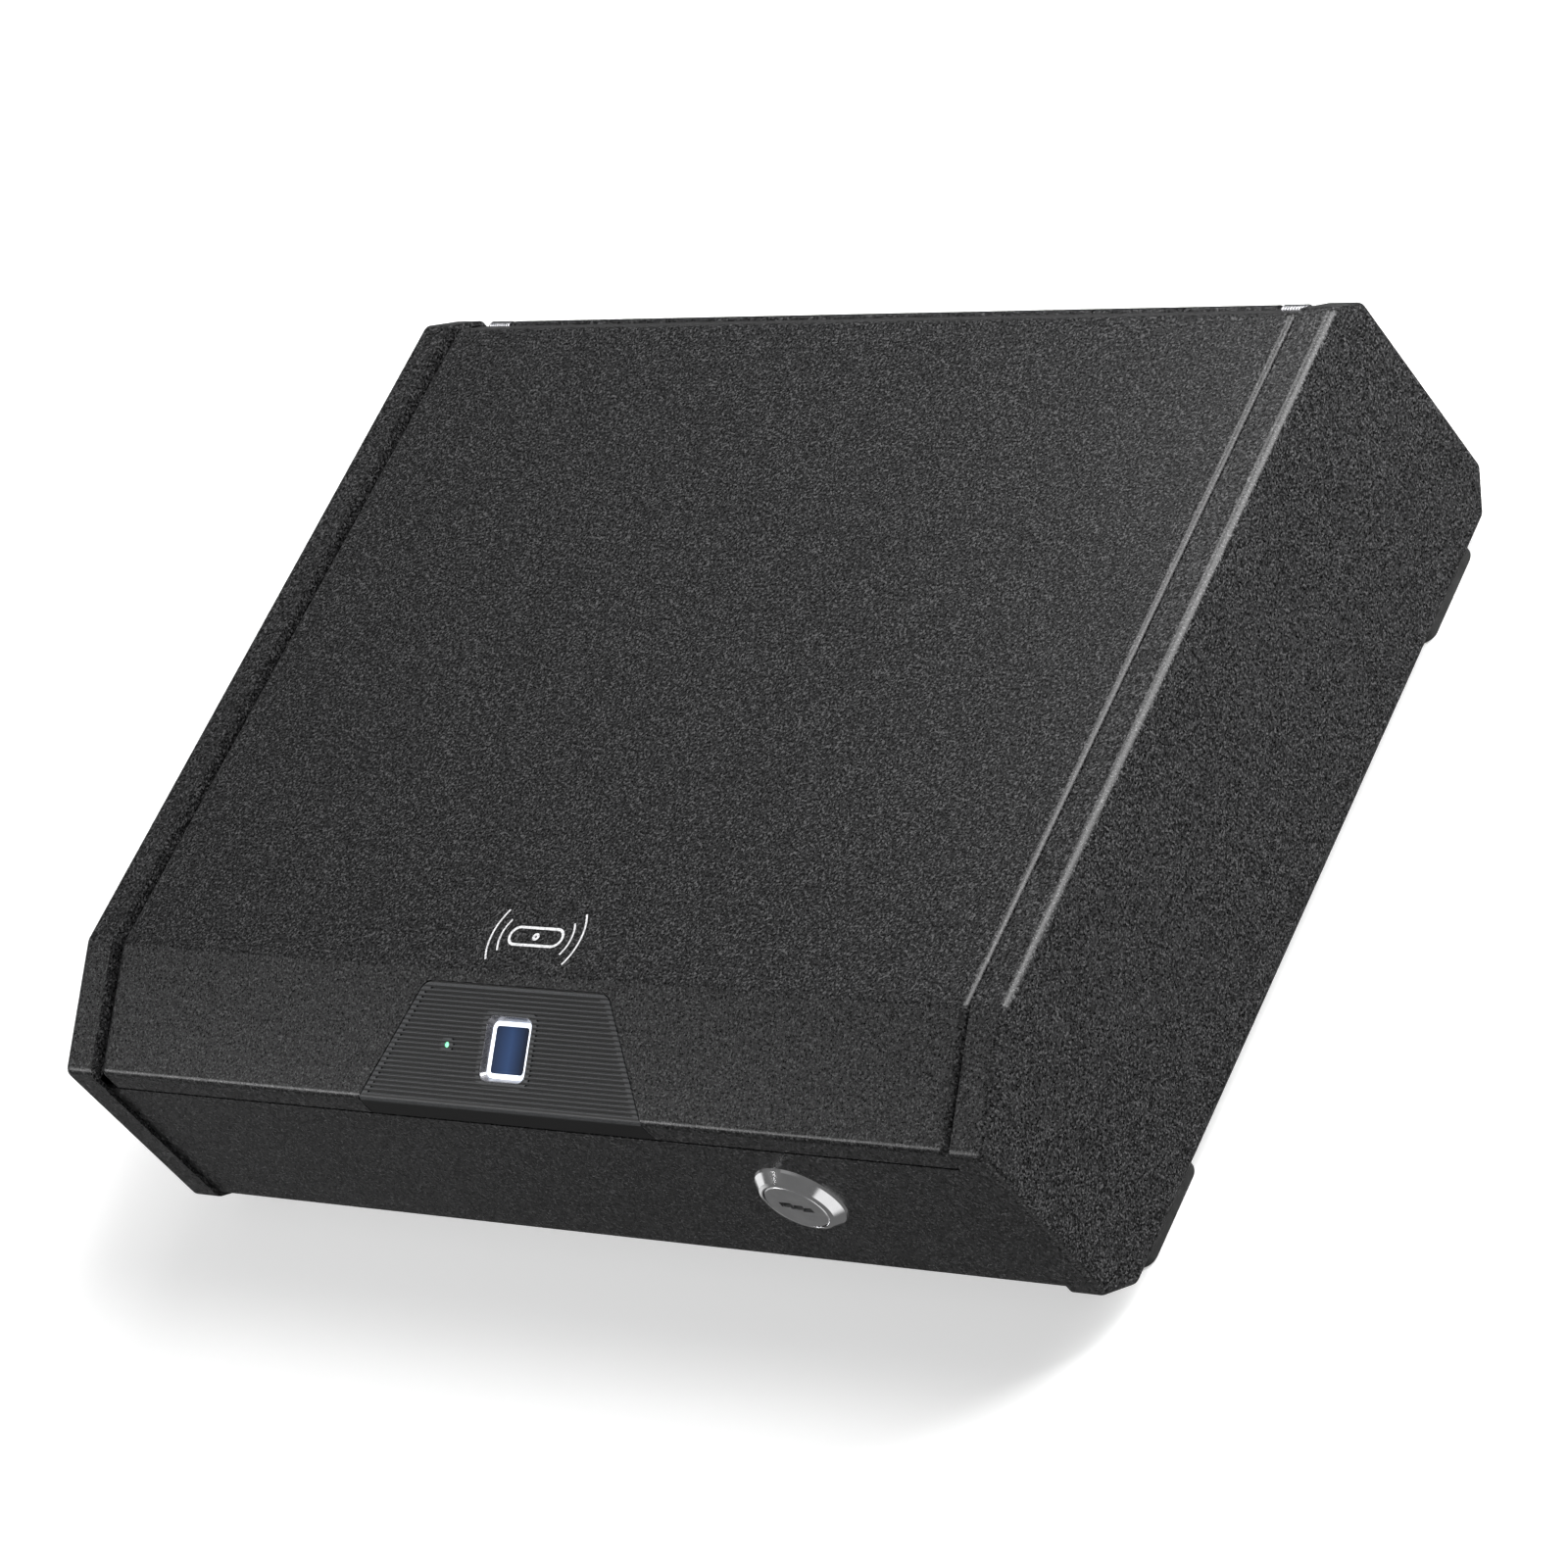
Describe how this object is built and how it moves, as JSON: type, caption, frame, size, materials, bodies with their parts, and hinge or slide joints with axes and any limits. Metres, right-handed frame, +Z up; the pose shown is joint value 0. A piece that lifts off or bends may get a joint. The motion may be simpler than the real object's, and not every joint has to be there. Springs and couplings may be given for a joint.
{
  "type": "gun safe",
  "caption": "Flat slant-front steel gun safe with a hinged lid, fingerprint reader, motor latch and key override.",
  "frame": {"origin": "on the surface it stands on, under the middle of its bounding box", "axes": "+X to the right as seen from the front, +Y from front to rear, +Z up"},
  "size_m": [0.3, 0.2418, 0.085],
  "materials": {
    "powder_coat": "fine sandy matte powder coat",
    "panel_plastic": "fine satin moulded plastic",
    "lock_chrome": "polished",
    "plug_metal": "satin",
    "plated_steel": "zinc plated",
    "spring_steel": "drawn wire",
    "foot_rubber": "matte",
    "foam": "open-cell foam",
    "tray_plastic": "spark-eroded texture",
    "bezel_silver": "satin chrome plating",
    "light_white": "translucent, lit",
    "sensor_glass": "polished dark glass",
    "led_green": "clear, lit",
    "board_green": "solder mask",
    "ribbon": "polyimide film",
    "battery_wrap": "printed sleeve",
    "pinion_brass": "machined",
    "button_red": "satin",
    "buzzer_black": "moulded",
    "print_white": "screen print"
  },
  "bodies": {
    "case": {"side_cap_right": "powder_coat", "side_cap_left": "powder_coat", "body_shell": "powder_coat", "floor_foam": "foam", "hinge_leaf_body": "powder_coat", "hinge_pin": "plated_steel", "hinge_spring_left": "spring_steel", "hinge_spring_right": "spring_steel", "strike_bracket": "powder_coat", "strike_screws": "plated_steel", "strike_spring": "spring_steel", "lock_housing": "lock_chrome", "lock_nut": "plated_steel", "foot_front_left": "foot_rubber", "foot_front_right": "foot_rubber", "foot_rear_left": "foot_rubber", "foot_rear_right": "foot_rubber"},
    "lid": {"lid_shell": "powder_coat", "lid_studs": "plated_steel", "lid_foam": "foam", "hinge_leaf_lid": "powder_coat", "sensor_panel": "panel_plastic", "sensor_bezel": "bezel_silver", "sensor_light_ring": "light_white", "sensor_glass": "sensor_glass", "sensor_module": "buzzer_black", "sensor_ribbon": "ribbon", "status_led": "led_green", "electronics_tray": "tray_plastic", "tray_screws": "plated_steel", "battery_contacts": "plated_steel", "circuit_board": "board_green", "buzzer": "buzzer_black", "gear_motor": "plug_metal", "motor_cradle": "tray_plastic", "latch_guides": "plated_steel", "battery_1": "battery_wrap", "battery_2": "battery_wrap", "battery_3": "battery_wrap", "battery_4": "battery_wrap"},
    "battery_door": {"battery_door": "tray_plastic"},
    "learn_button": {"learn_button": "button_red"},
    "latch_bar": {"latch_bar": "plated_steel"},
    "motor_pinion": {"motor_pinion": "pinion_brass", "motor_shaft": "plated_steel"},
    "strike_slide": {"strike_slide": "plated_steel"},
    "key_plug": {"key_plug": "plug_metal", "lock_cam": "plated_steel", "cam_screw": "plated_steel"}
  },
  "joints": [
    {"name": "lid_hinge", "type": "hinge", "parent": "case", "child": "lid", "pos_m": [0, 0.1181, 0.0756], "axis": [-1, 0, 0], "range_deg": [0, 100], "stiffness_Nm_per_rad": 0.3, "springref_deg": 80.21, "deforming": ["hinge_spring_left", "hinge_spring_right"]},
    {"name": "latch_slide", "type": "slide", "parent": "lid", "child": "latch_bar", "axis": [1, 0, 0], "range_m": [0, 0.006]},
    {"name": "pinion_spin", "type": "hinge", "parent": "lid", "child": "motor_pinion", "pos_m": [0.018, -0.0981, 0.06968], "axis": [0, -1, 0], "range_deg": [0, 100]},
    {"name": "key_turn", "type": "hinge", "parent": "case", "child": "key_plug", "pos_m": [0.078, -0.1191, 0.0435], "axis": [0, 1, 0], "range_deg": [0, 90]},
    {"name": "strike_slide", "type": "slide", "parent": "case", "child": "strike_slide", "axis": [1, 0, 0], "range_m": [0, 0.00848], "stiffness_N_per_m": 120, "deforming": ["strike_spring"]},
    {"name": "battery_door_slide", "type": "slide", "parent": "lid", "child": "battery_door", "axis": [0, 1, 0], "range_m": [0, 0.036]},
    {"name": "learn_press", "type": "slide", "parent": "lid", "child": "learn_button", "axis": [0, 0, 1], "range_m": [0, 0.0008], "stiffness_N_per_m": 250}
  ],
  "couplings": [
    {"joint": "pinion_spin", "follows": "latch_slide", "rad_per_m": 285.71},
    {"joint": "key_turn", "follows": "strike_slide", "rad_per_m": 185.12}
  ]
}
